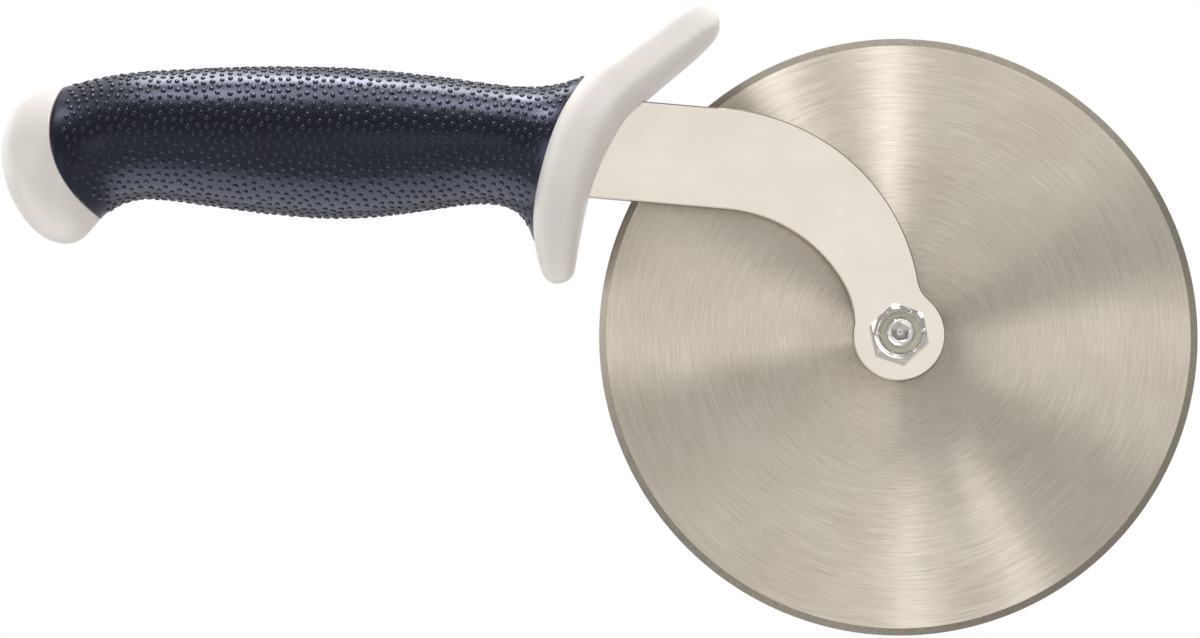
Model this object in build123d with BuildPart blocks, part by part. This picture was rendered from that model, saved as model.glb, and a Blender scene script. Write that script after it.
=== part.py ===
from build123d import *
from math import copysign, cos, pi, radians, sin, sqrt, tan
import os

# Pizza cutter: a stainless wheel that spins on a bolt at the end of a flat steel arm,
# whose tang is moulded into a hard plastic handle that wears a soft grip sleeve.
# Millimetres. The origin is the middle of the grip, +X points towards the wheel,
# +Z points up to the thumb rest, and the axle runs along Y with its nut towards -Y.

# Wheel
wheel_diameter = 127.0
wheel_thickness = 1.2
bevel_width = 1.5
cutting_edge_thickness = 0.2

# Axle
bolt_diameter = 6.35
sleeve_diameter = 9.5
washer_diameter = 17.0
washer_thickness = 1.0
running_clearance = 0.05      # radial, wheel on its sleeve
seat_clearance = 0.1          # radial, whatever is slipped over the bolt or the sleeve
side_play = 0.1               # on each side of the wheel

# Bolt head and lock nut
hex_across_flats = 11.11
corner_bevel = 0.5            # height of the turned bevel on the corners
bolt_head_height = 4.0
bolt_tip_chamfer = 0.9
bolt_tip_depth = 0.1          # rim of the nut down to the end of the bolt
nut_height = 7.9
nut_hex_height = 5.4
nut_turn = 11.5               # degrees, lower corner of the nut away from straight down
thread_clearance = 0.05
collar_diameter = 10.4
collar_opening = 8.7
rim_round = 0.5
insert_diameter = 9.3
insert_thickness = 1.8
insert_depth = 0.45           # rim of the nut down to the ring
insert_bite = 0.45            # how deep the thread cuts into the ring

# Arm
arm_thickness = 3.0
arm_pitch = 5.0               # degrees that the arm falls towards the wheel
boss_radius = 9.8
outer_neck_reach = 4.7
outer_neck_height = 4.3       # above the axle, where the outer edge still stands upright
outer_neck_radius = 43.6
outer_neck_angle = 50.9
outer_bend_radius = 45.2
inner_neck_reach = 9.5
inner_neck_height = 2.7
inner_neck_radius = 16.8
inner_neck_angle = 29.7
inner_bend_radius = 31.4
boss_blend_radius = 6.6
arm_edge_break = 0.25         # polished off every edge of the plate
tang_height = 12.0
tang_shoulder_depth = 0.8     # behind the middle of the guard
tang_setback = 21.25          # ahead of the rear end of the grip
tang_corner_radius = 4.0
anchor_hole_diameter = 6.0
anchor_hole_spacing = 40.0

# Grip, pommel and the seam between them
grip_length = 102.5
grip_height = 32.0
grip_width = 27.0
sleeve_wall = 2.0
pommel_length = 17.0
seam_radius = 22.0
seam_bulge = 5.4

# Guard
guard_setback = 0.45          # middle of the guard behind the front end of the grip
guard_thickness = 12.0
guard_width = 34.0
guard_heading = 65.3          # degrees, level with the middle of the grip
guard_sweep_radius = 51.2
guard_lower_angle = 34.3
guard_upper_angle = 10.0
guard_bend_radius = 20.0
guard_bend_angle = 17.0
thumb_rest_length = 25.9
outline_points = 16
outline_power = 3.0           # 2 is an ellipse, and more is flatter on the long sides
edge_lean_share = 0.42        # of half the thickness, edges set towards the wheel
edge_lean_power = 4           # how late across the width they turn that way

# Place of the axle
rim_gap = 4.2                 # guard to wheel, level with the axle
axle_drop = 41.0

# Sections of the grip from the seam to the guard: place along the grip, rise of the middle,
# height and width as shares of the grip's own, and lean towards the wheel in degrees
grip_section_shares = [
    (-0.535, -0.073, 0.916, 0.91, -15.5),
    (-0.433, 0.037, 0.835, 0.87, -8.0),
    (-0.339, 0.045, 0.866, 0.90, -2.5),
    (-0.207, 0.026, 0.943, 0.96, 0.0),
    (-0.072, 0.004, 0.990, 0.99, 0.0),
    (0.050, -0.006, 0.980, 0.99, 0.8),
    (0.172, -0.004, 0.896, 0.94, 1.7),
    (0.271, -0.005, 0.812, 0.88, 3.7),
    (0.333, -0.017, 0.785, 0.86, 6.7),
    (0.386, -0.038, 0.830, 0.88, 12.4),
    (0.431, -0.061, 0.977, 0.95, 17.4),
    (0.463, -0.088, 1.176, 1.05, 20.1),
    (0.495, -0.110, 1.340, 1.13, 22.0),
]

# Sections of the pommel outwards from the seam: distance out as a share of the pommel's
# length, drop towards the heel, height and width as shares of the grip's
pommel_section_shares = [
    (0.31, 0.046, 1.012, 0.98),
    (0.52, 0.055, 0.980, 0.96),
    (0.75, 0.052, 0.806, 0.82),
    (0.88, 0.046, 0.594, 0.62),
    (0.955, 0.040, 0.372, 0.40),
    (1.00, 0.040, 0.0, 0.0),
]
covered_pommel_sections = 2   # how many of them the core under the sleeve reaches back to

# Sections of the guard from its lower tip to the end of the thumb rest, closer together
# towards both ends: thickness and width as shares of the guard's own
guard_section_shares = [
    (0.00, 0.00),
    (0.31, 0.17),
    (0.52, 0.31),
    (0.64, 0.43),
    (0.74, 0.54),
    (0.84, 0.66),
    (0.91, 0.78),
    (0.95, 0.88),
    (0.98, 0.95),
    (1.00, 0.99),
    (1.00, 1.00),
    (0.99, 0.95),
    (0.98, 0.88),
    (0.96, 0.79),
    (0.94, 0.72),
    (0.92, 0.66),
    (0.88, 0.61),
    (0.80, 0.54),
    (0.63, 0.43),
    (0.35, 0.24),
    (0.00, 0.00),
]

wheel_radius = wheel_diameter / 2
bolt_radius = bolt_diameter / 2
sleeve_radius = sleeve_diameter / 2
guard_reach = grip_length / 2 - guard_setback
tang_shoulder = guard_reach - tang_shoulder_depth
tang_end = grip_length / 2 - tang_setback
axle_x = guard_reach + rim_gap + wheel_radius
axle_z = -axle_drop
axle = Axis((axle_x, 0, axle_z), (0, 1, 0))

# The stack along the axle, from the nut's outer end to the head of the bolt
arm_front = -arm_thickness / 2
arm_back = arm_thickness / 2
nut_end = arm_front - nut_height
nut_hex_end = arm_front - nut_hex_height
bolt_end = nut_end + bolt_tip_depth
insert_outer_face = nut_end + insert_depth
insert_inner_face = insert_outer_face + insert_thickness
wheel_front = arm_back + washer_thickness + side_play
wheel_back = wheel_front + wheel_thickness
back_washer_front = wheel_back + side_play
head_seat = back_washer_front + washer_thickness


def across_axle(y):
    """Plane square to the axle, facing from the nut towards the bolt's head."""
    return Plane(origin=(axle_x, y, axle_z), x_dir=(1, 0, 0), z_dir=(0, 1, 0))


def along_axle():
    """Plane for turned profiles: x is the radius and y runs along the axle."""
    return Plane(origin=(axle_x, 0, axle_z), x_dir=(1, 0, 0), z_dir=(0, 0, 1))


def ring(outer_radius, inner_radius, start, thickness):
    with BuildPart() as turned:
        with BuildSketch(across_axle(start)):
            Circle(outer_radius)
            Circle(inner_radius, mode=Mode.SUBTRACT)
        extrude(amount=thickness)
    return turned


def hexagon(seat, face, turn):
    """Hexagonal block from its flat seat to a face whose corners are turned off."""
    flat_radius = hex_across_flats / 2
    corner_radius = hex_across_flats / sqrt(3)
    bevel = corner_bevel if face > seat else -corner_bevel
    with BuildPart() as block:
        with BuildSketch(along_axle()):
            with BuildLine():
                Polyline(
                    (0, seat),
                    (corner_radius, seat),
                    (corner_radius, face - bevel),
                    (flat_radius, face),
                    (0, face),
                    close=True,
                )
            make_face()
        revolve(axis=axle)
        with BuildSketch(across_axle(seat)):
            RegularPolygon(flat_radius, side_count=6, major_radius=False, rotation=turn)
        extrude(amount=face - seat, mode=Mode.INTERSECT)
    return block


os.makedirs("parts", exist_ok=True)

# Wheel: the rim is ground from both faces, and the plain bore runs on the sleeve
wheel_middle = (wheel_front + wheel_back) / 2
bore_radius = sleeve_radius + running_clearance
with BuildPart() as wheel_blade:
    with BuildSketch(along_axle()):
        with BuildLine():
            Polyline(
                (bore_radius, wheel_front),
                (wheel_radius - bevel_width, wheel_front),
                (wheel_radius, wheel_middle - cutting_edge_thickness / 2),
                (wheel_radius, wheel_middle + cutting_edge_thickness / 2),
                (wheel_radius - bevel_width, wheel_back),
                (bore_radius, wheel_back),
                close=True,
            )
        make_face()
    revolve(axis=axle)

# Sleeve and thrust washers: the sleeve is clamped between the arm and the bolt's head
washer_bore = sleeve_radius + seat_clearance
axle_sleeve = ring(sleeve_radius, bolt_radius + seat_clearance, arm_back, head_seat - arm_back)
front_washer = ring(washer_diameter / 2, washer_bore, arm_back, washer_thickness)
back_washer = ring(washer_diameter / 2, washer_bore, back_washer_front, washer_thickness)

# Axle bolt: hexagon head behind the wheel, plain shank, chamfered end
bolt_head = hexagon(head_seat, head_seat + bolt_head_height, 0)
with BuildPart() as axle_bolt:
    add(bolt_head.part)
    with BuildSketch(across_axle(bolt_end)):
        Circle(bolt_radius)
    extrude(amount=head_seat - bolt_end)
    chamfer(axle_bolt.faces().sort_by(Axis.Y)[0].edges(), length=bolt_tip_chamfer)

# Lock nut: hexagon below, and above it a collar whose rim is rolled in over the ring
nut_bore = bolt_radius + thread_clearance
nut_hexagon = hexagon(arm_front, nut_hex_end, 30 - nut_turn)
with BuildPart() as lock_nut:
    add(nut_hexagon.part)
    with BuildSketch(along_axle()):
        with BuildLine():
            FilletPolyline(
                (0, nut_hex_end),
                (collar_diameter / 2, nut_hex_end),
                (collar_diameter / 2, nut_end),
                (0, nut_end),
                radius=rim_round,
            )
            Line((0, nut_end), (0, nut_hex_end))
        make_face()
    revolve(axis=axle)
    with BuildSketch(along_axle()):
        with BuildLine():
            Polyline(
                (0, nut_end),
                (collar_opening / 2, nut_end),
                (collar_opening / 2, insert_outer_face),
                (insert_diameter / 2, insert_outer_face),
                (insert_diameter / 2, insert_inner_face),
                (nut_bore, insert_inner_face),
                (nut_bore, arm_front),
                (0, arm_front),
                close=True,
            )
        make_face()
    revolve(axis=axle, mode=Mode.SUBTRACT)

# Locking ring: it fills its groove in the collar and is cut by the thread
nut_insert = ring(
    insert_diameter / 2, bolt_radius - insert_bite, insert_outer_face, insert_thickness
)


def neck_edge(reach, height, neck_radius, neck_angle, bend_radius):
    """One edge of the arm: up from beside the axle, over two tangent arcs, to the shoulder."""
    rise = Line((axle_x + reach, axle_z), (axle_x + reach, axle_z + height))
    neck = JernArc(rise @ 1, rise % 1, neck_radius, neck_angle)
    bend = JernArc(neck @ 1, neck % 1, bend_radius, 90 - arm_pitch - neck_angle)
    bend_end = bend @ 1
    climb = (bend_end.X - tang_shoulder) * tan(radians(arm_pitch))
    flat = Line(bend_end, (tang_shoulder, bend_end.Y + climb))
    return rise @ 0, flat @ 1


# Arm: a flat plate with a swan neck, a round boss and a tang with two anchor holes
with BuildPart() as arm_plate:
    with BuildSketch(Plane.XZ):
        with BuildLine():
            outer_foot, outer_shoulder = neck_edge(
                outer_neck_reach, outer_neck_height,
                outer_neck_radius, outer_neck_angle, outer_bend_radius,
            )
            inner_foot, inner_shoulder = neck_edge(
                -inner_neck_reach, inner_neck_height,
                inner_neck_radius, inner_neck_angle, inner_bend_radius,
            )
            Line(outer_foot, inner_foot)
            Line(outer_shoulder, inner_shoulder)
        make_face()
        with Locations((axle_x, axle_z)):
            Circle(boss_radius)
        fillet(vertices().sort_by(Axis.X)[-1], radius=boss_blend_radius)
        with Locations((-tang_end, 0)):
            Rectangle(tang_end + tang_shoulder, tang_height, align=(Align.MIN, Align.CENTER))
        fillet(vertices().group_by(Axis.X)[0], radius=tang_corner_radius)
        with Locations((axle_x, axle_z)):
            Circle(bolt_radius + seat_clearance, mode=Mode.SUBTRACT)
        with Locations(((tang_shoulder - tang_end) / 2, 0)):
            with GridLocations(anchor_hole_spacing, 0, 2, 1):
                Circle(anchor_hole_diameter / 2, mode=Mode.SUBTRACT)
    extrude(amount=arm_thickness / 2, both=True)
    chamfer(arm_plate.faces().filter_by(Axis.Y).edges(), length=arm_edge_break)


def section_plane(x, z, lean):
    """Plane across the handle. Its x runs along the axle and its y up the leaning section."""
    forward = (cos(radians(lean)), 0, -sin(radians(lean)))
    return Plane(origin=(x, 0, z), x_dir=(0, 1, 0), z_dir=forward)


seam_shares = grip_section_shares[0]
seam_plane = section_plane(
    seam_shares[0] * grip_length, seam_shares[1] * grip_height, seam_shares[4]
)


def handle_form(pommel_sections, inset):
    """Loft through the pommel's first sections and the grip, drawn in by an even inset."""
    sections = []
    for out, drop, height, width in reversed(pommel_section_shares[:pommel_sections]):
        middle = Vector(0, -drop * grip_height, -out * pommel_length)
        origin = seam_plane.from_local_coords(middle)
        if height == 0:
            sections.append(Vertex(*origin))
            continue
        with BuildSketch(Plane(origin, seam_plane.x_dir, seam_plane.z_dir)) as section:
            Ellipse(width * grip_width / 2 - inset, height * grip_height / 2 - inset)
        sections.append(section.sketch)
    for along, rise, height, width, lean in grip_section_shares:
        with BuildSketch(section_plane(along * grip_length, rise * grip_height, lean)) as section:
            Ellipse(width * grip_width / 2 - inset, height * grip_height / 2 - inset)
        sections.append(section.sketch)
    with BuildPart() as form:
        loft(sections)
    return form


outer_form = handle_form(len(pommel_section_shares), 0)
inner_form = handle_form(covered_pommel_sections, sleeve_wall)

# Everything ahead of the seam, whose arc bulges back into the pommel
seam_middle = seam_plane.from_local_coords(Vector(0, 0, seam_radius - seam_bulge))
with BuildPart() as grip_zone:
    with BuildSketch(Plane.XZ):
        with Locations((seam_middle.X, seam_middle.Z)):
            Circle(seam_radius)
            Rectangle(grip_length, 2 * seam_radius, align=(Align.MIN, Align.CENTER))
    extrude(amount=grip_width, both=True)


def rounded_outline(half_width, half_height):
    """Closed curve between an ellipse and a rectangle, whose two edges lean to the wheel."""
    points = []
    for step in range(outline_points):
        angle = radians(360 / outline_points * step)
        across = copysign(abs(cos(angle)) ** (2 / outline_power), cos(angle))
        up = copysign(abs(sin(angle)) ** (2 / outline_power), sin(angle))
        up -= edge_lean_share * across**edge_lean_power
        points.append((across * half_width, up * half_height))
    Spline(points, periodic=True)


# Guard: a thick rounded plate that follows a curved line up into the thumb rest
heading = (cos(radians(guard_heading)), sin(radians(guard_heading)))
with BuildLine(Plane.XZ) as guard_line:
    drop_arc = JernArc(
        (guard_reach, 0), (-heading[0], -heading[1]), guard_sweep_radius, guard_lower_angle,
        mode=Mode.PRIVATE,
    )
    sweep_arc = JernArc(
        drop_arc @ 1, (drop_arc % 1) * -1, guard_sweep_radius,
        -(guard_lower_angle + guard_upper_angle),
    )
    bend_arc = JernArc(sweep_arc @ 1, sweep_arc % 1, guard_bend_radius, -guard_bend_angle)
    Line(bend_arc @ 1, (bend_arc @ 1) + (bend_arc % 1) * thumb_rest_length)
guard_path = guard_line.wire()
with BuildPart() as guard:
    sections = []
    for step, (thickness, width) in enumerate(guard_section_shares):
        place = (1 - cos(pi * step / (len(guard_section_shares) - 1))) / 2
        distance = place * guard_path.length
        point = guard_path.position_at(distance, PositionMode.LENGTH)
        if width == 0:
            sections.append(Vertex(*point))
            continue
        along = guard_path.tangent_at(distance, PositionMode.LENGTH)
        with BuildSketch(Plane(point, x_dir=(0, 1, 0), z_dir=along)) as section:
            with BuildLine():
                rounded_outline(width * guard_width / 2, thickness * guard_thickness / 2)
            make_face()
        sections.append(section.sketch)
    loft(sections)

# Handle core: pommel, the body under the sleeve and the guard in one moulding, cast
# around the tang so that its plastic also fills the two anchor holes
with BuildPart() as handle_core:
    add(outer_form.part)
    add(grip_zone.part, mode=Mode.SUBTRACT)
    add(inner_form.part)
    add(guard.part)
    add(arm_plate.part, mode=Mode.SUBTRACT)

# Grip sleeve: an even skin over the body, from the pommel's seam up to the guard
with BuildPart() as grip_sleeve:
    add(outer_form.part)
    add(grip_zone.part, mode=Mode.INTERSECT)
    add(guard.part, mode=Mode.SUBTRACT)
    add(inner_form.part, mode=Mode.SUBTRACT)

pieces = {
    "wheel_blade": wheel_blade,
    "arm_plate": arm_plate,
    "handle_core": handle_core,
    "grip_sleeve": grip_sleeve,
    "axle_bolt": axle_bolt,
    "axle_sleeve": axle_sleeve,
    "front_washer": front_washer,
    "back_washer": back_washer,
    "lock_nut": lock_nut,
    "nut_insert": nut_insert,
}
for name, piece in pieces.items():
    piece.part.label = name
    export_step(piece.part, f"parts/{name}.step")
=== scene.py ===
from math import cos, pi, radians, sin, sqrt, tan

import bmesh
import bpy
import numpy as np
from mathutils import Matrix, Vector
from mathutils.bvhtree import BVHTree


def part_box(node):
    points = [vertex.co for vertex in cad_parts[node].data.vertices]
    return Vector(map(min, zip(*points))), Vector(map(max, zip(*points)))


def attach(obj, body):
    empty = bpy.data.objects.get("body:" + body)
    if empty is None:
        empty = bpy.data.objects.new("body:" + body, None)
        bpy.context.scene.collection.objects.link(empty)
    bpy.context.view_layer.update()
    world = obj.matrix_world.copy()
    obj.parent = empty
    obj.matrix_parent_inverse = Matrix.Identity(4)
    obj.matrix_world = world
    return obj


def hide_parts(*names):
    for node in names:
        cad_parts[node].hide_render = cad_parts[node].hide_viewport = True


# Pizza cutter wheel. Everything is in metres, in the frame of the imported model: the origin is
# the middle of the grip, +X points to the wheel, +Z is up, and the axle runs along Y.

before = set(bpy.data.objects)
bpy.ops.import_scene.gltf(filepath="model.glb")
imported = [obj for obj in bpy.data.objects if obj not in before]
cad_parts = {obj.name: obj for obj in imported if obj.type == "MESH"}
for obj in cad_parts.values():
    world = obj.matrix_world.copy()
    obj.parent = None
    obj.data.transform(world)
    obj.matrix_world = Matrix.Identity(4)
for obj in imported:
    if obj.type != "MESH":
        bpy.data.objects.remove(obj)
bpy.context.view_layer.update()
mm = 0.001

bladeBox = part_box("wheel_blade")
axle = {
    "x": (bladeBox[0].x + bladeBox[1].x) / 2,
    "z": (bladeBox[0].z + bladeBox[1].z) / 2,
    "boltRadius": 3.175 * mm,
}


# Colours and nodes

def toLinear(hexColour):
    channels = [int(hexColour[i:i + 2], 16) / 255 for i in (1, 3, 5)]
    return [c / 12.92 if c <= 0.04045 else ((c + 0.055) / 1.055) ** 2.4 for c in channels] + [1.0]


def addNode(tree, kind, inputs=None, **settings):
    node = tree.nodes.new(kind)
    for name, value in settings.items():
        setattr(node, name, value)
    for name, value in (inputs or {}).items():
        if isinstance(value, bpy.types.NodeSocket):
            tree.links.new(value, node.inputs[name])
        else:
            node.inputs[name].default_value = value
    return node


def newMaterial(name):
    material = bpy.data.materials.new(name)
    material.use_nodes = True
    material.node_tree.nodes.clear()
    return material, material.node_tree


def mixColours(tree, share, first, second):
    # The colour sockets of a mix node are numbers 6 and 7
    colours = {0: share, 6: toLinear(first), 7: toLinear(second)}
    return addNode(tree, "ShaderNodeMix", colours, data_type="RGBA").outputs[2]


def spread(tree, value, low, high, lowest=0.3, highest=0.7):
    # Noise stays near the middle of its range, so it is stretched before use
    return addNode(tree, "ShaderNodeMapRange", {
        "Value": value, "From Min": lowest, "From Max": highest, "To Min": low, "To Max": high,
    }).outputs["Result"]


def finishMaterial(tree, shader):
    addNode(tree, "ShaderNodeOutputMaterial", {"Surface": shader.outputs[0]})


# Curves and meshes

def smoothCurve(places, values):
    # Natural cubic spline through rows of values, read at one place or at many
    x, y = np.array(places, float), np.array(values, float)
    step = np.diff(x)[:, None]
    slope = np.diff(y, axis=0) / step
    system, right = np.eye(len(x)), np.zeros_like(y)
    for i in range(1, len(x) - 1):
        before, after = step[i - 1, 0], step[i, 0]
        system[i, i - 1:i + 2] = before, 2 * (before + after), after
        right[i] = 6 * (slope[i] - slope[i - 1])
    bend = np.linalg.solve(system, right)

    def at(place):
        place = np.atleast_1d(place)
        i = np.clip(np.searchsorted(x, place) - 1, 0, len(x) - 2)
        span = step[i]
        ahead, behind = (x[i + 1] - place)[:, None], (place - x[i])[:, None]
        curved = (bend[i] * ahead ** 3 + bend[i + 1] * behind ** 3) / (6 * span)
        start = (y[i] / span - bend[i] * span / 6) * ahead
        end = (y[i + 1] / span - bend[i + 1] * span / 6) * behind
        return curved + start + end

    return at


def skin(name, rings, looped=False):
    # Closed mesh through rings of points. A single point closes an end.
    points, starts = [], []
    for ring in rings:
        ring = np.atleast_2d(ring)
        starts.append((len(points), len(ring)))
        points.extend(tuple(p) for p in ring)
    pairs = list(zip(starts, starts[1:])) + ([(starts[-1], starts[0])] if looped else [])
    faces = []
    for (a, countA), (b, countB) in pairs:
        around = max(countA, countB)
        for i in range(around):
            j = (i + 1) % around
            if countA == 1:
                faces.append((a, b + j, b + i))
            elif countB == 1:
                faces.append((a + i, a + j, b))
            else:
                faces.append((a + i, a + j, b + j, b + i))
    mesh = bpy.data.meshes.new(name)
    mesh.from_pydata(points, [], faces)
    shell = bmesh.new()
    shell.from_mesh(mesh)
    bmesh.ops.recalc_face_normals(shell, faces=shell.faces)
    shell.to_mesh(mesh)
    shell.free()
    return mesh


def turned(name, profile, columns, shape=None):
    # Turned form about the axle: the profile is a list of radius and place along the axle.
    # shape may move the points of a ring, given its number, radii, places and angles.
    angles = np.arange(columns) * 2 * pi / columns
    rings = []
    for number, (radius, along) in enumerate(profile):
        if radius == 0:
            rings.append((axle["x"], along, axle["z"]))
            continue
        radii, places = np.full(columns, float(radius)), np.full(columns, float(along))
        if shape:
            radii, places = shape(number, radii, places, angles)
        x, z = axle["x"] + radii * np.cos(angles), axle["z"] + radii * np.sin(angles)
        rings.append(np.stack([x, places, z], axis=1))
    return skin(name, rings, looped=profile[0][0] > 0)


def finishMesh(mesh, sharpAngle, *materials):
    for material in materials:
        mesh.materials.append(material)
    mesh.shade_smooth()
    mesh.set_sharp_from_angle(angle=radians(sharpAngle))


def addPiece(name, mesh, body, node):
    piece = bpy.data.objects.new(name, mesh)
    bpy.context.scene.collection.objects.link(piece)
    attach(piece, body)
    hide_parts(node)


# Blade

blade = {
    "radius": 63.5 * mm,
    "thickness": 1.2 * mm,
    "front": bladeBox[0].y,
    "bore": 4.8 * mm,
    "bevelWidth": 1.5 * mm,
    "edge": 0.2 * mm,
    "columns": 360,
    "faceRings": 12,
    "sharpAngle": 12,
    "strokeGap": 0.42 * mm,        # real brush lines are finer; this is what still shows
    "strokesAround": 5.0,
}


def brushedBladeSteel():
    # Stainless strip brushed in circles: fine broken arcs that draw lamps out into radial fans
    material, tree = newMaterial("stainlessBrushedInCircles")
    place = addNode(tree, "ShaderNodeTexCoord").outputs["Object"]
    centred = addNode(tree, "ShaderNodeMapping", {
        "Vector": place, "Location": (-axle["x"], 0, -axle["z"]),
    })
    flat = addNode(tree, "ShaderNodeVectorMath", {
        0: centred.outputs[0], 1: (1, 0, 1),
    }, operation="MULTIPLY")
    reach = addNode(tree, "ShaderNodeVectorMath", {0: flat.outputs[0]}, operation="LENGTH")
    heading = addNode(tree, "ShaderNodeVectorMath", {0: flat.outputs[0]}, operation="NORMALIZE")
    around = addNode(tree, "ShaderNodeVectorMath", {
        0: heading.outputs[0], "Scale": blade["strokesAround"],
    }, operation="SCALE")
    outward = addNode(tree, "ShaderNodeMath", {
        0: reach.outputs["Value"], 1: 1 / blade["strokeGap"],
    }, operation="MULTIPLY")
    lift = addNode(tree, "ShaderNodeCombineXYZ", {"Y": outward.outputs[0]})
    polar = addNode(tree, "ShaderNodeVectorMath", {
        0: around.outputs[0], 1: lift.outputs[0],
    }, operation="ADD")
    strokes = addNode(tree, "ShaderNodeTexNoise", {
        "Vector": polar.outputs[0], "Scale": 1.0, "Detail": 5.0, "Roughness": 0.7,
    }).outputs[0]
    cloudy = addNode(tree, "ShaderNodeTexNoise", {
        "Vector": place, "Scale": 1 / (14 * mm), "Detail": 3.0,
    }).outputs[0]
    blend = addNode(tree, "ShaderNodeMath", {
        0: spread(tree, strokes, 0.0, 0.75), 1: spread(tree, cloudy, 0.0, 0.25),
    }, operation="ADD")
    bump = addNode(tree, "ShaderNodeBump", {
        "Height": strokes, "Strength": 0.25, "Distance": 0.02 * mm,
    })
    tangent = addNode(tree, "ShaderNodeTangent", direction_type="UV_MAP", uv_map="aroundAxle")
    shader = addNode(tree, "ShaderNodeBsdfPrincipled", {
        "Base Color": mixColours(tree, blend.outputs[0], "#D2C7B5", "#FFF6E8"),
        "Metallic": 1.0,
        "Roughness": spread(tree, strokes, 0.40, 0.48),
        "Anisotropic": 1.0,
        "Anisotropic Rotation": 0.25,       # highlights stretch across the strokes
        "Tangent": tangent.outputs[0],
        "Normal": bump.outputs[0],
    })
    finishMaterial(tree, shader)
    return material


def groundBevelSteel():
    # The cutting edge: ground across after brushing, so it is a finer, rougher band; its darker
    # colour is painted shade, standing in for the dim reflection the bevel catches
    material, tree = newMaterial("stainlessGroundEdge")
    place = addNode(tree, "ShaderNodeTexCoord").outputs["Object"]
    scratches = addNode(tree, "ShaderNodeTexNoise", {
        "Vector": place, "Scale": 1 / (0.5 * mm), "Detail": 4.0, "Roughness": 0.65,
    }).outputs[0]
    bump = addNode(tree, "ShaderNodeBump", {
        "Height": scratches, "Strength": 0.3, "Distance": 0.02 * mm,
    })
    shader = addNode(tree, "ShaderNodeBsdfPrincipled", {
        # painted shade: the bevel's dim reflection is painted into this darker colour
        "Base Color": mixColours(tree, spread(tree, scratches, 0, 1), "#8B8377", "#A59D90"),
        "Metallic": 1.0,
        "Roughness": spread(tree, scratches, 0.28, 0.42),
        "Normal": bump.outputs[0],
    })
    finishMaterial(tree, shader)
    return material


def makeBlade():
    radius, front, thickness = blade["radius"], blade["front"], blade["thickness"]
    middle, back = front + thickness / 2, front + thickness
    bore, face, edge = blade["bore"], radius - blade["bevelWidth"], blade["edge"] / 2
    steps = [
        bore + (face - bore) * i / blade["faceRings"] for i in range(blade["faceRings"] + 1)
    ]
    profile = [(r, front) for r in steps] + [(radius, middle - edge), (radius, middle + edge)]
    profile += [(r, back) for r in reversed(steps)]
    mesh = turned("blade", profile, blade["columns"])
    around = mesh.uv_layers.new(name="aroundAxle")
    for polygon in mesh.polygons:
        centre = polygon.center
        base = np.arctan2(centre.z - axle["z"], centre.x - axle["x"])
        reach = np.hypot(centre.z - axle["z"], centre.x - axle["x"])
        polygon.material_index = 1 if reach > face else 0
        for loop in polygon.loop_indices:
            point = mesh.vertices[mesh.loops[loop].vertex_index].co
            angle = np.arctan2(point.z - axle["z"], point.x - axle["x"])
            # Kept within half a turn of the face's own angle, so no face wraps round
            angle = base + (angle - base + pi) % (2 * pi) - pi
            distance = np.hypot(point.z - axle["z"], point.x - axle["x"])
            around.data[loop].uv = (angle / (2 * pi), distance / radius)
    finishMesh(mesh, blade["sharpAngle"], brushedBladeSteel(), groundBevelSteel())
    addPiece("blade", mesh, "wheel", "wheel_blade")
    print("blade ready")


makeBlade()


# Handle: sections from the tip of the pommel to the guard, the same as the moulding's drawing

grip = {
    "length": 102.5 * mm,
    "height": 32.0 * mm,
    "width": 27.0 * mm,
    "wall": 2.0 * mm,
    "pommelLength": 17.0 * mm,
    "seamRadius": 22.0 * mm,
    "seamBulge": 5.4 * mm,
    "seamHalvings": 40,            # steps of the search for the seam
    "seamGap": 0.04 * mm,
    "lip": 0.25 * mm,              # both sides of the seam are rounded over by this much
    "lipMiddle": 0.3,              # where the middle of the rounding lies, as a share of it
    "columns": 128,
    "rows": 120,
    "pommelRows": 60,
    "hiddenRows": 24,
    "sharpAngle": 50,
}
gripSections = [  # place along, rise, height and width as shares of the grip, lean in degrees
    (-0.535, -0.073, 0.916, 0.91, -15.5),
    (-0.433, 0.037, 0.835, 0.87, -8.0),
    (-0.339, 0.045, 0.866, 0.90, -2.5),
    (-0.207, 0.026, 0.943, 0.96, 0.0),
    (-0.072, 0.004, 0.990, 0.99, 0.0),
    (0.050, -0.006, 0.980, 0.99, 0.8),
    (0.172, -0.004, 0.896, 0.94, 1.7),
    (0.271, -0.005, 0.812, 0.88, 3.7),
    (0.333, -0.017, 0.785, 0.86, 6.7),
    (0.386, -0.038, 0.830, 0.88, 12.4),
    (0.431, -0.061, 0.977, 0.95, 17.4),
    (0.463, -0.088, 1.176, 1.05, 20.1),
    (0.495, -0.110, 1.340, 1.13, 22.0),
]
pommelSections = [  # distance out from the first of those, drop, height and width as shares
    (1.00, 0.040, 0.0, 0.0),
    (0.955, 0.040, 0.372, 0.40),
    (0.88, 0.046, 0.594, 0.62),
    (0.75, 0.052, 0.806, 0.82),
    (0.52, 0.055, 0.980, 0.96),
    (0.31, 0.046, 1.012, 0.98),
]


def handleStations():
    # Each station: x, z, lean in radians, half height, half width
    length, height, width = grip["length"], grip["height"], grip["width"]
    stations = [
        (along * length, rise * height, radians(lean), h * height / 2, w * width / 2)
        for along, rise, h, w, lean in gripSections
    ]
    seamX, seamZ, seamLean = stations[0][:3]
    outwards = []
    for out, drop, h, w in pommelSections:
        back, down = out * grip["pommelLength"], drop * height
        x = seamX - back * cos(seamLean) - down * sin(seamLean)
        z = seamZ + back * sin(seamLean) - down * cos(seamLean)
        outwards.append((x, z, seamLean, h * height / 2, w * width / 2))
    return np.array(outwards + stations)


stations = handleStations()
travel = np.concatenate([[0], np.cumsum(np.hypot(
    np.hypot(np.diff(stations[:, 0]), np.diff(stations[:, 1])), np.diff(stations[:, 3])
))])
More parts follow.
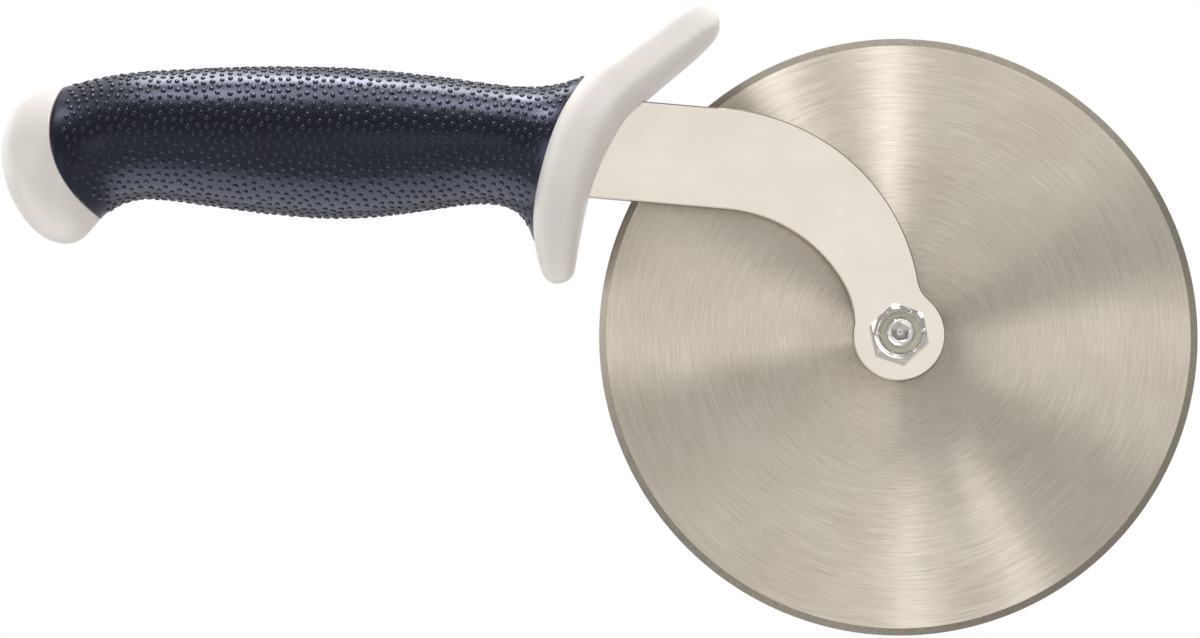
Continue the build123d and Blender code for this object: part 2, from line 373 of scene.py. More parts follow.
# The spline runs on through the tip with its sizes turned over, which makes the tip round
mirrored = slice(1, 5)
beyond = stations[mirrored] * (1, 1, 1, -1, -1)
handleCurve = smoothCurve(
    np.concatenate([-travel[mirrored][::-1], travel]), np.concatenate([beyond[::-1], stations])
)
seamLean = stations[len(pommelSections)][2]
seamMiddle = stations[len(pommelSections)][:2] + np.array(
    (cos(seamLean), -sin(seamLean))
) * (grip["seamRadius"] - grip["seamBulge"])
gripAngles = np.arange(grip["columns"]) * 2 * pi / grip["columns"]


def handleRing(distance, inset=0.0):
    # Points round the handle, each at its own distance from the tip of the pommel
    x, z, lean, high, wide = handleCurve(np.broadcast_to(distance, gripAngles.shape)).T
    rise = (high - inset) * np.sin(gripAngles)
    across = (wide - inset) * np.cos(gripAngles)
    return np.stack([x + rise * np.sin(lean), across, z + rise * np.cos(lean)], axis=1)


def seamDistances():
    # Where each line along the handle crosses the seam's circle, between two of its sections
    low = np.full(gripAngles.shape, travel[2])
    high = np.full(gripAngles.shape, travel[len(pommelSections) + 2])
    for _ in range(grip["seamHalvings"]):
        middle = (low + high) / 2
        ring = handleRing(middle)
        outside = np.hypot(ring[:, 0] - seamMiddle[0], ring[:, 2] - seamMiddle[1])
        behind = outside > grip["seamRadius"]
        low, high = np.where(behind, middle, low), np.where(behind, high, middle)
    return low


seam = seamDistances()
sleeveEnd = travel[-1]


# Guard: a curved line from its lower tip up to the thumb rest, with sections along it

guard = {
    "reach": 50.8 * mm,
    "thickness": 12.0 * mm,
    "width": 34.0 * mm,
    "heading": radians(65.3),      # its direction, level with the middle of the grip
    "sweepRadius": 51.2 * mm,
    "lowerAngle": radians(34.3),
    "upperAngle": radians(10.0),
    "bendRadius": 20.0 * mm,
    "bendAngle": radians(17.0),
    "thumbRest": 25.9 * mm,
    "backPower": 6.0,              # the side towards the grip is nearly flat
    "frontPower": 2.7,
    "skew": 0.16,                  # how far the fullest line leans to the wheel's side
    "skewPower": 4,
    "columns": 96,
    "rows": 120,
}
guardSections = [  # thickness and width as shares, closer together towards both tips
    (0.00, 0.00), (0.31, 0.17), (0.52, 0.31), (0.64, 0.43), (0.74, 0.54), (0.84, 0.66),
    (0.91, 0.78), (0.95, 0.88), (0.98, 0.95), (1.00, 0.99), (1.00, 1.00), (0.99, 0.95),
    (0.98, 0.88), (0.96, 0.79), (0.94, 0.72), (0.92, 0.66), (0.88, 0.61), (0.80, 0.54),
    (0.63, 0.43), (0.35, 0.24), (0.00, 0.00),
]


sweepLength = guard["sweepRadius"] * (guard["lowerAngle"] + guard["upperAngle"])
bendLength = guard["bendRadius"] * guard["bendAngle"]
guardLength = sweepLength + bendLength + guard["thumbRest"]


def guardLine(distance):
    # Point and heading on the guard's middle line, at a distance from its lower tip:
    # a long sweep, a short bend and then the straight thumb rest
    sweep, bend, heading = guard["sweepRadius"], guard["bendRadius"], guard["heading"]
    centre = (guard["reach"] + sweep * sin(heading), -sweep * cos(heading))
    heading += guard["lowerAngle"] - min(distance, sweepLength) / sweep
    x, z = centre[0] - sweep * sin(heading), centre[1] + sweep * cos(heading)
    if distance > sweepLength:
        centre = (x + bend * sin(heading), z - bend * cos(heading))
        heading -= min(distance - sweepLength, bendLength) / bend
        x, z = centre[0] - bend * sin(heading), centre[1] + bend * cos(heading)
    if distance > sweepLength + bendLength:
        rest = distance - sweepLength - bendLength
        x, z = x + rest * cos(heading), z + rest * sin(heading)
    return x, z, heading


def makeGuardMesh():
    last = len(guardSections) - 1
    sizes = np.array(guardSections)
    # The spline runs two sections on past both tips, with their sizes turned over
    numbers = list(range(-2, last + 3))
    rows = [-sizes[2], -sizes[1], *sizes, -sizes[last - 1], -sizes[last - 2]]
    sizeCurve = smoothCurve(numbers, rows)
    angles = np.arange(guard["columns"]) * 2 * pi / guard["columns"]
    power = 2 / np.where(np.sin(angles) > 0, guard["backPower"], guard["frontPower"])
    across = np.sign(np.cos(angles)) * np.abs(np.cos(angles)) ** power
    up = np.sign(np.sin(angles)) * np.abs(np.sin(angles)) ** power
    up -= guard["skew"] * across ** guard["skewPower"]
    rings = []
    for row in range(guard["rows"] + 1):
        share = row / guard["rows"]
        x, z, heading = guardLine(guardLength * (1 - cos(pi * share)) / 2)
        if row in (0, guard["rows"]):
            rings.append((x, 0, z))
            continue
        thickness, width = sizeCurve(share * last)[0]
        rise = up * thickness * guard["thickness"] / 2
        rings.append(np.stack([
            x - rise * sin(heading), across * width * guard["width"] / 2, z + rise * cos(heading),
        ], axis=1))
    return skin("guard", rings)


def mouldedPlastic():
    # Polypropylene from a fine-grained mould: off-white, satin, with a soft broad highlight
    material, tree = newMaterial("polypropyleneMoulded")
    place = addNode(tree, "ShaderNodeTexCoord").outputs["Object"]
    grain = addNode(tree, "ShaderNodeTexNoise", {
        "Vector": place, "Scale": 1 / (0.35 * mm), "Detail": 2.0,
    }).outputs[0]
    cloudy = addNode(tree, "ShaderNodeTexNoise", {
        "Vector": place, "Scale": 1 / (22 * mm), "Detail": 2.0,
    }).outputs[0]
    bump = addNode(tree, "ShaderNodeBump", {
        "Height": grain, "Strength": 0.08, "Distance": 0.05 * mm,
    })
    shader = addNode(tree, "ShaderNodeBsdfPrincipled", {
        "Base Color": mixColours(tree, spread(tree, cloudy, 0, 1), "#DFD9D3", "#E4DEDA"),
        "Roughness": spread(tree, grain, 0.34, 0.42),
        "IOR": 1.49,
        "Subsurface Weight": 0.08,
        "Subsurface Radius": (2.0 * mm, 1.6 * mm, 1.3 * mm),
        "Subsurface Scale": 1.0,
        "Normal": bump.outputs[0],
    })
    finishMaterial(tree, shader)
    return material


def makeMoulding():
    # Pommel, the body hidden under the sleeve, and the guard
    lip, wall, shown, hidden = grip["lip"], grip["wall"], grip["pommelRows"], grip["hiddenRows"]
    rounded, span = lip * grip["lipMiddle"], sleeveEnd - seam
    tip, end = handleCurve(0.0)[0], handleCurve(sleeveEnd)[0]
    rings = [(tip[0], 0, tip[1])]
    rings += [handleRing((seam - lip) * (i / shown)) for i in range(1, shown + 1)]
    rings += [handleRing(seam - rounded, rounded), handleRing(seam, lip), handleRing(seam, wall)]
    rings += [handleRing(seam + span * i / hidden, wall) for i in range(1, hidden + 1)]
    rings.append((end[0], 0, end[1]))
    body = skin("pommelAndBody", rings)
    joined = bmesh.new()
    joined.from_mesh(body)
    joined.from_mesh(makeGuardMesh())
    joined.to_mesh(body)
    joined.free()
    finishMesh(body, grip["sharpAngle"], mouldedPlastic())
    addPiece("handleMoulding", body, "handle", "handle_core")
    print("moulding ready")


makeMoulding()


# Grip sleeve with its pebbles

pebbles = {
    "Spacing": 1.66 * mm,
    "Density": 4.0 / mm ** 2,
    "Size": 1.36 * mm,
    "Height": 0.27 * mm,
    "Seed": 7,
}
pebbleVariety = {"least": (0.88, 0.78, 0.8), "most": (1.12, 1.0, 1.15)}
pebbleMargin = {"seam": 1.9 * mm, "guard": 0.9 * mm}       # plain bands beside both
domeForm = {"columns": 8, "rings": ((1.0, -0.5), (0.88, 0.46), (0.6, 0.9))}     # reach and rise


def gripRubber():
    # Thermoplastic rubber, dark blue-grey: a soft highlight, and a cool sheen at the edges
    material, tree = newMaterial("thermoplasticRubberMoulded")
    place = addNode(tree, "ShaderNodeTexCoord").outputs["Object"]
    grain = addNode(tree, "ShaderNodeTexNoise", {
        "Vector": place, "Scale": 1 / (0.25 * mm), "Detail": 2.0,
    }).outputs[0]
    cloudy = addNode(tree, "ShaderNodeTexNoise", {
        "Vector": place, "Scale": 1 / (9 * mm), "Detail": 3.0,
    }).outputs[0]
    bump = addNode(tree, "ShaderNodeBump", {
        "Height": grain, "Strength": 0.12, "Distance": 0.05 * mm,
    })
    shader = addNode(tree, "ShaderNodeBsdfPrincipled", {
        "Base Color": mixColours(tree, spread(tree, cloudy, 0, 1), "#08090C", "#0D0F14"),
        "Roughness": spread(tree, grain, 0.22, 0.30),
        "IOR": 1.57,
        "Specular Tint": (0.68, 0.72, 1.0, 1.0),
        "Sheen Weight": 0.12,
        "Sheen Roughness": 0.35,
        "Sheen Tint": (0.66, 0.72, 1.0, 1.0),
        "Normal": bump.outputs[0],
    })
    finishMaterial(tree, shader)
    return material


def pebbleTree():
    tree = bpy.data.node_groups.new("pebbleScatter", "GeometryNodeTree")
    tree.interface.new_socket("Sleeve", in_out="INPUT", socket_type="NodeSocketGeometry")
    for name in ("Spacing", "Density", "Size", "Height"):
        tree.interface.new_socket(name, in_out="INPUT", socket_type="NodeSocketFloat")
    tree.interface.new_socket("Seed", in_out="INPUT", socket_type="NodeSocketInt")
    tree.interface.new_socket("Dome", in_out="INPUT", socket_type="NodeSocketObject")
    tree.interface.new_socket("Rubber", in_out="INPUT", socket_type="NodeSocketMaterial")
    tree.interface.new_socket("Sleeve", in_out="OUTPUT", socket_type="NodeSocketGeometry")
    given = addNode(tree, "NodeGroupInput").outputs
    field = addNode(tree, "GeometryNodeInputNamedAttribute", {
        "Name": "pebbled",
    }, data_type="BOOLEAN")
    points = addNode(tree, "GeometryNodeDistributePointsOnFaces", {
        "Mesh": given["Sleeve"], "Selection": field.outputs["Attribute"],
        "Distance Min": given["Spacing"], "Density Max": given["Density"], "Seed": given["Seed"],
    }, distribute_method="POISSON")
    dome = addNode(tree, "GeometryNodeObjectInfo", {0: given["Dome"]})
    halfSize = addNode(tree, "ShaderNodeMath", {0: given["Size"], 1: 0.5}, operation="MULTIPLY")
    form = addNode(tree, "ShaderNodeCombineXYZ", {
        "X": halfSize.outputs[0], "Y": halfSize.outputs[0], "Z": given["Height"],
    })
    vary = addNode(tree, "FunctionNodeRandomValue", {
        0: pebbleVariety["least"], 1: pebbleVariety["most"], "Seed": given["Seed"],
    }, data_type="FLOAT_VECTOR")
    scale = addNode(tree, "ShaderNodeVectorMath", {
        0: form.outputs[0], 1: vary.outputs[0],
    }, operation="MULTIPLY")
    spin = addNode(tree, "FunctionNodeRandomValue", {
        0: (0, 0, 0), 1: (0, 0, 2 * pi), "Seed": given["Seed"],
    }, data_type="FLOAT_VECTOR")
    turn = addNode(tree, "FunctionNodeEulerToRotation", {0: spin.outputs[0]})
    aligned = addNode(tree, "FunctionNodeRotateRotation", {
        0: points.outputs["Rotation"], 1: turn.outputs[0],
    }, rotation_space="LOCAL")
    placed = addNode(tree, "GeometryNodeInstanceOnPoints", {
        "Points": points.outputs["Points"], "Instance": dome.outputs["Geometry"],
        "Rotation": aligned.outputs[0], "Scale": scale.outputs[0],
    })
    real = addNode(tree, "GeometryNodeRealizeInstances", {0: placed.outputs[0]})
    joined = addNode(tree, "GeometryNodeJoinGeometry", {0: given["Sleeve"]})
    tree.links.new(real.outputs[0], joined.inputs[0])
    rubber = addNode(tree, "GeometryNodeSetMaterial", {
        "Geometry": joined.outputs[0], "Material": given["Rubber"],
    })
    addNode(tree, "NodeGroupOutput", {0: rubber.outputs[0]})
    return tree


def makeDome():
    # A low round dome of unit radius and height, with its foot a little under the surface
    turns = np.arange(domeForm["columns"]) * 2 * pi / domeForm["columns"]
    foot = domeForm["rings"][0][1]
    rings = [(0.0, 0.0, foot)]
    for reach, rise in domeForm["rings"]:
        rings.append(np.stack([
            reach * np.cos(turns), reach * np.sin(turns), np.full_like(turns, rise),
        ], axis=1))
    rings.append((0.0, 0.0, 1.0))
    mesh = skin("dome", rings)
    mesh.shade_smooth()
    return bpy.data.objects.new("dome", mesh)


def runTree(mesh, tree, values):
    # The plain mesh that a node tree makes of a mesh
    holder = bpy.data.objects.new("holder", mesh)
    bpy.context.scene.collection.objects.link(holder)
    modifier = holder.modifiers.new("nodes", "NODES")
    modifier.node_group = tree
    for socket in tree.interface.items_tree:
        if socket.in_out == "INPUT" and socket.name in values:
            modifier[socket.identifier] = values[socket.name]
    depsgraph = bpy.context.evaluated_depsgraph_get()
    made = bpy.data.meshes.new_from_object(holder.evaluated_get(depsgraph), depsgraph=depsgraph)
    bpy.data.objects.remove(holder)
    return made


def clearOfGuard(places):
    # Which places lie outside the guard and further from it than the margin
    mesh = makeGuardMesh()
    shell = bmesh.new()
    shell.from_mesh(mesh)
    surface = BVHTree.FromBMesh(shell)
    shell.free()
    bpy.data.meshes.remove(mesh)
    clear = []
    for place in places:
        nearest, normal, _, distance = surface.find_nearest(place)
        clear.append((place - nearest).dot(normal) > 0 and distance > pebbleMargin["guard"])
    return clear


def makeSleeve():
    lip, wall, rows, columns = grip["lip"], grip["wall"], grip["rows"], grip["columns"]
    rounded, hidden = lip * grip["lipMiddle"], grip["hiddenRows"]
    start = seam + grip["seamGap"]
    span = sleeveEnd - start
    lipRings = [handleRing(start, lip), handleRing(start + rounded, rounded)]
    outer = lipRings + [handleRing(start + lip + (span - lip) * i / rows) for i in range(rows + 1)]
    inner = [handleRing(start + span * i / hidden, wall) for i in range(hidden, -1, -1)]
    mesh = skin("gripSleeve", outer + inner, looped=True)
    finishMesh(mesh, grip["sharpAngle"])
    marginRows = int(pebbleMargin["seam"] / (sleeveEnd - seam.mean()) * rows) + len(lipRings)
    pebbled = mesh.attributes.new("pebbled", "BOOLEAN", "FACE")
    first, last = marginRows * columns, (len(outer) - 1) * columns
    clear = clearOfGuard([polygon.center for polygon in mesh.polygons])
    pebbled.data.foreach_set("value", [first <= i < last and clear[i] for i in range(len(clear))])
    rubber = gripRubber()
    dome = makeDome()
    mesh = runTree(mesh, pebbleTree(), {**pebbles, "Dome": dome, "Rubber": rubber})
    bpy.data.objects.remove(dome)
    addPiece("gripSkin", mesh, "handle", "grip_sleeve")
    triangles = sum(len(polygon.vertices) - 2 for polygon in mesh.polygons)
    print("sleeve ready:", triangles, "triangles")


makeSleeve()


# Axle bolt and lock nut

acrossFlats = 11.11 * mm
fastener = {
    "flat": acrossFlats / 2,
    "corner": acrossFlats / sqrt(3),
    "bevel": 0.55 * mm,
    "columns": 288,
    "sharpAngle": 28,
}
nut = {
    "turn": radians(-18.5),
    "seat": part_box("arm_plate")[0].y,
    "end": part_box("lock_nut")[0].y,
    "boreGap": 0.05 * mm,
    "hexHeight": 5.4 * mm,
    "landing": 0.985,              # the plain ring inside the bevelled corners, as a share
    "collar": 5.2 * mm,
    "collarFoot": 0.25 * mm,
    "rim": 0.5 * mm,
    "rimCurve": ((0, 1), (0.15, 0.5), (0.5, 0.15), (1, 0)),       # inwards and down as shares
    "opening": 4.35 * mm,
    "openingCurve": ((0.12 * mm, 0.05 * mm), (0, 0.2 * mm)),      # outwards and down
    "groove": 0.3 * mm,
    "notches": 6,                  # where the rim is staked inwards
    "notchTurn": radians(7),
    "notchWidth": radians(4.2),
    "notchPower": 6,
    "notchDepth": 0.3 * mm,
    "notchInwards": {"rim": 0.05 * mm, "opening": 0.25 * mm},
}
nutRing = {
    "depth": 0.45 * mm,
    "thickness": 1.8 * mm,
    "bite": 0.2 * mm,              # how far the bolt presses into it
    "outerEdge": ((0, 0.02 * mm), (0.4 * mm, 0)),                 # inwards and down
    "innerEdge": ((0.5 * mm, 0), (0.15 * mm, 0.12 * mm), (0, 0.4 * mm)),      # outwards and down
    "columns": 96,
    "sharpAngle": 35,
}
bolt = {
    "depth": 0.1 * mm,             # its tip lies this far inside the nut
    "tip": (                       # radius and depth in mm: a dimple, a flat ring and a chamfer
        (0, 0.8), (0.2, 0.7), (0.36, 0.5), (1.7, 0.45), (1.88, 0.38),
        (1.98, 0.06), (2.06, 0), (2.48, 0), (2.56, 0.06),
    ),
    "chamferDepth": 0.62 * mm,
    "headFace": ((0.97, 0), (0.94, 0.05 * mm), (0, 0.08 * mm)),   # share of the flat, and depth
}


def brightSteel():
    # Stainless bar, turned and tumbled bright: sharp reflections broken by faint tool marks
    material, tree = newMaterial("stainlessTurnedBright")
    place = addNode(tree, "ShaderNodeTexCoord").outputs["Object"]
    marks = addNode(tree, "ShaderNodeTexNoise", {
        "Vector": place, "Scale": 1 / (0.9 * mm), "Detail": 4.0,
    }).outputs[0]
    bump = addNode(tree, "ShaderNodeBump", {
        "Height": marks, "Strength": 0.2, "Distance": 0.03 * mm,
    })
    shader = addNode(tree, "ShaderNodeBsdfPrincipled", {
        "Base Color": mixColours(tree, spread(tree, marks, 0, 1), "#C9C3BD", "#E2DDD9"),
        "Metallic": 1.0,
        "Roughness": spread(tree, marks, 0.1, 0.22),
        "Normal": bump.outputs[0],
    })
    finishMaterial(tree, shader)
    return material


def nylon(name, first, second):
    # Nylon: a waxy, slightly see-through look with a low shine
    material, tree = newMaterial(name)
    place = addNode(tree, "ShaderNodeTexCoord").outputs["Object"]
    grain = addNode(tree, "ShaderNodeTexNoise", {
        "Vector": place, "Scale": 1 / (0.6 * mm), "Detail": 3.0,
    }).outputs[0]
    bump = addNode(tree, "ShaderNodeBump", {
        "Height": grain, "Strength": 0.2, "Distance": 0.04 * mm,
    })
    shader = addNode(tree, "ShaderNodeBsdfPrincipled", {
        "Base Color": mixColours(tree, spread(tree, grain, 0, 1), first, second),
        "Roughness": spread(tree, grain, 0.38, 0.5),
        "IOR": 1.53,
        "Normal": bump.outputs[0],
    })
    finishMaterial(tree, shader)
    return material


def hexRadius(angles, turn):
    return fastener["flat"] / np.cos((angles - turn) % (pi / 3) - pi / 6)


def hexShape(hexRing, turn, towards):
    # The ring of that number follows the hexagon, and the next one its turned-off corners
    def shape(number, radii, places, angles):
        if number in (hexRing, hexRing + 1):
            radii = hexRadius(angles, turn)
        if number == hexRing + 1:
            spare = fastener["corner"] - fastener["flat"]
            places = places - towards * fastener["bevel"] * (radii - fastener["flat"]) / spare
        return radii, places
    return shape


def makeNut(steel):
    seat, end, rim, foot = nut["seat"], nut["end"], nut["rim"], nut["collarFoot"]
    hexEnd, ringTop = seat - nut["hexHeight"], end + nutRing["depth"]
    bore, collar, opening = axle["boltRadius"] + nut["boreGap"], nut["collar"], nut["opening"]
    groove, ringEnd = opening + nut["groove"], ringTop + nutRing["thickness"]
    landing, corner = fastener["flat"] * nut["landing"], fastener["corner"]
    profile = [
        (bore, seat), (corner, seat), (corner, hexEnd),
        (landing, hexEnd), (collar + foot, hexEnd), (collar, hexEnd - foot),
    ]
    profile += [(collar - rim * inwards, end + rim * down) for inwards, down in nut["rimCurve"]]
    openingRing = len(profile)
    profile += [(opening + outwards, end + down) for outwards, down in nut["openingCurve"]]
    profile += [(opening, ringTop), (groove, ringTop), (groove, ringEnd), (bore, ringEnd)]
    hexed = hexShape(1, nut["turn"], -1)

    def shape(number, radii, places, angles):
        radii, places = hexed(number, radii, places, angles)
        # Staked: the last two rings of the rim and the first three of the opening
        if openingRing - 2 <= number <= openingRing + 2:
            pitch = 2 * pi / nut["notches"]
            off = (angles - nut["notchTurn"] + pitch / 2) % pitch - pitch / 2
            dent = np.exp(-(off / nut["notchWidth"]) ** nut["notchPower"])
            inwards = nut["notchInwards"]["rim" if number < openingRing else "opening"]
            radii, places = radii - dent * inwards, places + dent * nut["notchDepth"]
        return radii, places

    mesh = turned("nut", profile, fastener["columns"], shape)
    finishMesh(mesh, fastener["sharpAngle"], steel)
    addPiece("nut", mesh, "handle", "lock_nut")


def makeNutRing():
    top = nut["end"] + nutRing["depth"]
    bottom = top + nutRing["thickness"]
    outer, inner = nut["opening"] + nut["groove"], axle["boltRadius"] - nutRing["bite"]
    profile = [(inner, bottom), (outer, bottom)]
    profile += [(outer - inwards, top + down) for inwards, down in nutRing["outerEdge"]]
    profile += [(inner + outwards, top + down) for outwards, down in nutRing["innerEdge"]]
    mesh = turned("nutRing", profile, nutRing["columns"])
    finishMesh(mesh, nutRing["sharpAngle"], nylon("nylonLockingRing", "#A6A390", "#B9B6A4"))
    addPiece("nutRing", mesh, "handle", "nut_insert")


def makeBolt(steel):
    headSeat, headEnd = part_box("back_washer")[1].y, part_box("axle_bolt")[1].y
    tip, radius = nut["end"] + bolt["depth"], axle["boltRadius"]
    profile = [(reach * mm, tip + down * mm) for reach, down in bolt["tip"]]
    profile += [(radius, tip + bolt["chamferDepth"]), (radius, headSeat)]
    hexRing = len(profile)
    profile += [(fastener["corner"], headSeat), (fastener["corner"], headEnd)]
    profile += [(fastener["flat"] * share, headEnd - down) for share, down in bolt["headFace"]]
    mesh = turned("bolt", profile, fastener["columns"], hexShape(hexRing, 0, 1))
    finishMesh(mesh, fastener["sharpAngle"], steel)
    addPiece("bolt", mesh, "handle", "axle_bolt")
    print("fasteners ready")


steel = brightSteel()
makeNut(steel)
makeNutRing()
makeBolt(steel)


# Arm, washers and sleeve keep their own solids and get their finish; the arm's edges also get
# painted shade

armEdgeDullingAndPaintedShade = {
    # the edge colour is partly a duller cut edge and partly painted shade along the plate's edges
    "edge": "#968E84",
    "edgeRoughness": 0.3,
    "edgeToFace": (0.8, 0.95),     # share of the surface's normal along the axle, over which the painted edge shade fades into the face
}


def polishedArmSteel():
    # Stainless plate polished smooth: it mirrors a pale room softly, with faint long strokes.
    # Its cut edge and the chamfer beside it don't face along the axle, and are duller: rougher, and
    # darkened in colour as painted shade, a dark line in place of the bright reflection they catch.
    material, tree = newMaterial("stainlessSatinPolished")
    coordinates = addNode(tree, "ShaderNodeTexCoord").outputs
    place = coordinates["Object"]
    facing = addNode(tree, "ShaderNodeSeparateXYZ", {0: coordinates["Normal"]}).outputs["Y"]
    flatness = addNode(tree, "ShaderNodeMath", {0: facing}, operation="ABSOLUTE").outputs[0]
    polished = spread(tree, flatness, 0, 1, *armEdgeDullingAndPaintedShade["edgeToFace"])
    long = addNode(tree, "ShaderNodeMapping", {
        "Vector": place, "Scale": (1 / (9 * mm), 1 / mm, 1 / (0.5 * mm)),
    })
    strokes = addNode(tree, "ShaderNodeTexNoise", {
        "Vector": long.outputs[0], "Scale": 1.0, "Detail": 3.0,
    }).outputs[0]
    cloudy = addNode(tree, "ShaderNodeTexNoise", {
        "Vector": place, "Scale": 1 / (12 * mm), "Detail": 3.0,
    }).outputs[0]
    bump = addNode(tree, "ShaderNodeBump", {
        "Height": strokes, "Strength": 0.03, "Distance": 0.01 * mm,
    })
    face = mixColours(tree, spread(tree, cloudy, 0, 1), "#E2D9CE", "#E8DFD5")
    faceOrPaintedEdgeShade = {0: polished, 6: toLinear(armEdgeDullingAndPaintedShade["edge"]), 7: face}
    gloss = {0: polished, 2: armEdgeDullingAndPaintedShade["edgeRoughness"], 3: spread(tree, strokes, 0.10, 0.14)}
    shader = addNode(tree, "ShaderNodeBsdfPrincipled", {
        "Base Color": addNode(tree, "ShaderNodeMix", faceOrPaintedEdgeShade, data_type="RGBA").outputs[2],
        "Metallic": 1.0,
        "Roughness": addNode(tree, "ShaderNodeMix", gloss).outputs[0],
        "Normal": bump.outputs[0],
    })
    finishMaterial(tree, shader)
    return material


def dress(node, material):
    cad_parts[node].data.materials.clear()
    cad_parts[node].data.materials.append(material)


dress("arm_plate", polishedArmSteel())
dress("axle_sleeve", steel)
washerNylon = nylon("nylonThrustWasher", "#DEDBD0", "#E9E6DD")
dress("front_washer", washerNylon)
dress("back_washer", washerNylon)
print("arm ready")


# Floor, world, lamps and camera

stageSettings = {
    "floorZ": -0.30,
    "floorSize": 60.0,
    "worldFront": 0.29,
    "worldBehind": 0.93,
    "worldSeen": 1.0,
    "floorSeen": 0.8,
    "floorGlowInReflectionsBelow": 2.5,             # painted reflection: the floor glows to reflections only, brighter than white below the grip,
    "floorGlowInReflectionsAhead": 0.65,            # and dimmer away from it
    "floorNear": 90 * mm,
    "floorFar": 300 * mm,
    "floorNarrow": 1.7,            # how much sooner that fades towards the wheel
}
openBeam = 180
lamps = {  # angle in the wheel's plane and off its axis, degrees across and along, brightness,
    # distance from the wheel, beam in degrees, and share of the same lamp behind the wheel
    "overhead": (98, 70, 26, 22, 5.2, 700 * mm, 42, 0.25),
    "overheadStrip": (90, 67, 6, 20, 20.0, 600 * mm, 42, 0.25),
    "overheadNarrow": (112, 67, 4, 20, 34.0, 600 * mm, 42, 0.25),
    "upperRight": (58, 70, 44, 24, 1.6, 210 * mm, openBeam, 0.4),
    "rightSide": (6, 60, 14, 30, 0.9, 400 * mm, openBeam, 0.4),
    "leftSide": (163, 48, 24, 30, 2.1, 1500 * mm, openBeam, 0.6),
    "leftStrip": (181, 62, 6, 22, 4.0, 1500 * mm, openBeam, 0.6),
    "lowNarrow": (-48, 72, 3, 20, 16.0, 400 * mm, openBeam, 0.4),
}
gripLamp = {                       # a narrow beam from above, for the grip's top
    "place": Vector((-8 * mm, 100 * mm, 560 * mm)),
    "size": (220 * mm, 340 * mm),
    "brightness": 24.0,
    "beam": 27,
}
frontPanel = {"place": Vector((250 * mm, 2200 * mm, 170 * mm)), "size": 0.62, "brightness": 0.75}


def seenWhite(tree, shader, strength):
    # The backdrop is plain white to the camera, also through a clear piece
    path = addNode(tree, "ShaderNodeLightPath").outputs
    seen = addNode(tree, "ShaderNodeMath", {
        0: path["Is Camera Ray"], 1: path["Is Transmission Ray"],
    }, operation="MAXIMUM")
    glow = addNode(tree, "ShaderNodeEmission", {"Strength": strength})
    return addNode(tree, "ShaderNodeMixShader", {0: seen.outputs[0], 1: shader, 2: glow.outputs[0]})


def makeFloor():
    half = stageSettings["floorSize"] / 2
    z = stageSettings["floorZ"]
    mesh = bpy.data.meshes.new("floor")
    corners = [(-half, -half, z), (half, -half, z), (half, half, z), (-half, half, z)]
    mesh.from_pydata(corners, [], [(0, 1, 2, 3)])
    floor = bpy.data.objects.new("floor", mesh)
    bpy.context.scene.collection.objects.link(floor)
    material, tree = newMaterial("paleFloor")
    paint = addNode(tree, "ShaderNodeBsdfDiffuse", {"Color": toLinear("#EFEEEC")})
    path = addNode(tree, "ShaderNodeLightPath").outputs
    place = addNode(tree, "ShaderNodeTexCoord").outputs["Object"]
    parts = addNode(tree, "ShaderNodeSeparateXYZ", {0: place}).outputs
    ahead = addNode(tree, "ShaderNodeMath", {0: parts["Y"]}, operation="ABSOLUTE")
    beside = addNode(tree, "ShaderNodeMath", {
        0: parts["X"], 1: stageSettings["floorNarrow"],
    }, operation="MULTIPLY")
    away = addNode(tree, "ShaderNodeMath", {
        0: ahead.outputs[0], 1: beside.outputs[0],
    }, operation="MAXIMUM")
    level = addNode(tree, "ShaderNodeMapRange", {
        "Value": away.outputs[0],
        "From Min": stageSettings["floorNear"], "From Max": stageSettings["floorFar"],
        "To Min": stageSettings["floorGlowInReflectionsBelow"], "To Max": stageSettings["floorGlowInReflectionsAhead"],
    }, interpolation_type="SMOOTHSTEP")
    # Painted reflection: the floor glows to glossy rays only, far brighter than white below the
    # grip, a pool of light that no lamp casts
    mirrored = addNode(tree, "ShaderNodeEmission", {"Strength": level.outputs["Result"]})
    lit = addNode(tree, "ShaderNodeMixShader", {
        0: path["Is Glossy Ray"], 1: paint.outputs[0], 2: mirrored.outputs[0],
    })
    seen = addNode(tree, "ShaderNodeMath", {
        0: path["Is Camera Ray"], 1: stageSettings["floorSeen"],
    }, operation="MULTIPLY")
    lift = addNode(tree, "ShaderNodeEmission", {"Strength": seen.outputs[0]})
    both = addNode(tree, "ShaderNodeAddShader", {0: lit.outputs[0], 1: lift.outputs[0]})
    finishMaterial(tree, both)
    mesh.materials.append(material)


def makeWorld():
    world = bpy.data.worlds.new("studio")
    bpy.context.scene.world = world
    world.use_nodes = True
    tree = world.node_tree
    tree.nodes.clear()
    # The room is dim in front of the part and pale behind it
    heading = addNode(tree, "ShaderNodeTexCoord").outputs["Generated"]
    parts = addNode(tree, "ShaderNodeSeparateXYZ", {0: heading}).outputs
    level = addNode(tree, "ShaderNodeMapRange", {
        "Value": parts["Y"], "From Min": -1.0, "From Max": 1.0,
        "To Min": stageSettings["worldFront"], "To Max": stageSettings["worldBehind"],
    })
    room = addNode(tree, "ShaderNodeBackground", {
        "Color": (1, 1, 1, 1), "Strength": level.outputs["Result"],
    })
    mixed = seenWhite(tree, room.outputs[0], stageSettings["worldSeen"])
    addNode(tree, "ShaderNodeOutputWorld", {"Surface": mixed.outputs[0]})


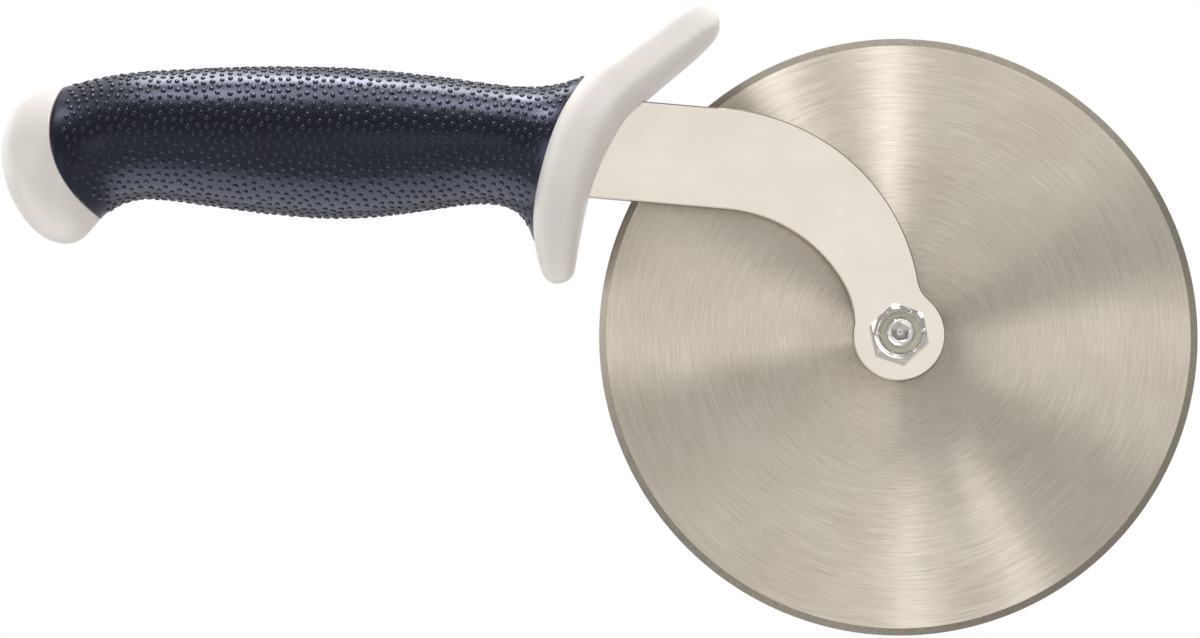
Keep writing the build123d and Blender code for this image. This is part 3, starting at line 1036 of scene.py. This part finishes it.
def addLamp(name, place, aim, width, height, brightness, upright, beam=openBeam):
    light = bpy.data.lights.new(name, "AREA")
    light.shape, light.size, light.size_y = "RECTANGLE", width, height
    light.energy = brightness * pi * width * height
    if beam < openBeam:         # a narrower beam is brighter along its axis for the same power
        half = radians(beam) / 2
        light.spread = 2 * half
        light.energy *= 1 - half / tan(half)
    lamp = bpy.data.objects.new(name, light)
    outward = (place - aim).normalized()
    across = upright.cross(outward).normalized()
    turn = Matrix((across, outward.cross(across), outward)).transposed().to_4x4()
    lamp.matrix_world = Matrix.Translation(place) @ turn
    bpy.context.scene.collection.objects.link(lamp)


def makeLamps():
    # Every lamp beside the wheel has a weaker twin behind it, so that its back shines as well
    centre = Vector((axle["x"], 0, axle["z"]))
    for side in (-1, 1):
        for name, lamp in lamps.items():
            around, off, width, length, brightness, distance, beam, behind = lamp
            around, off = radians(around), radians(off)
            radial = Vector((cos(around), 0, sin(around)))
            away = radial * sin(off) + Vector((0, side * cos(off), 0))
            across = 2 * distance * tan(radians(width) / 2)
            along = 2 * distance * tan(radians(length) / 2)
            if side > 0:
                brightness, beam = brightness * behind, openBeam
            addLamp(f"{name}{side}", centre + away * distance, centre, across, along,
                    brightness, radial, beam)
        place = frontPanel["place"] * Vector((1, side, 1))
        addLamp(f"panel{side}", place, centre, frontPanel["size"], frontPanel["size"],
                frontPanel["brightness"], Vector((0, 0, 1)))
    addLamp("grip", gripLamp["place"], Vector((gripLamp["place"].x, 0, 0)), *gripLamp["size"],
            gripLamp["brightness"], Vector((0, 1, 0)), gripLamp["beam"])


cameraSettings = {
    "aim": Vector((55.2 * mm, 3.2 * mm, -37.3 * mm)),
    "distance": 1.62,
    "elevation": radians(-4.6),
    "viewWidth": 254.7 * mm,       # what the frame's width spans at the wheel
    "sensor": 36.0,
    "clipEnd": 100,
}


def makeCamera():
    camera = bpy.data.cameras.new("camera")
    distance, elevation = cameraSettings["distance"], cameraSettings["elevation"]
    camera.sensor_width = cameraSettings["sensor"]
    camera.lens = cameraSettings["sensor"] * distance / cameraSettings["viewWidth"]
    camera.clip_end = cameraSettings["clipEnd"]
    holder = bpy.data.objects.new("camera", camera)
    away = Vector((0, -cos(elevation), sin(elevation)))
    holder.location = cameraSettings["aim"] + away * distance
    holder.rotation_mode = "QUATERNION"
    holder.rotation_quaternion = (-away).to_track_quat("-Z", "Y")
    bpy.context.scene.collection.objects.link(holder)
    bpy.context.scene.camera = holder


makeFloor()
makeWorld()
makeLamps()
makeCamera()
bpy.context.scene.view_settings.view_transform = "Standard"
print("stage ready")
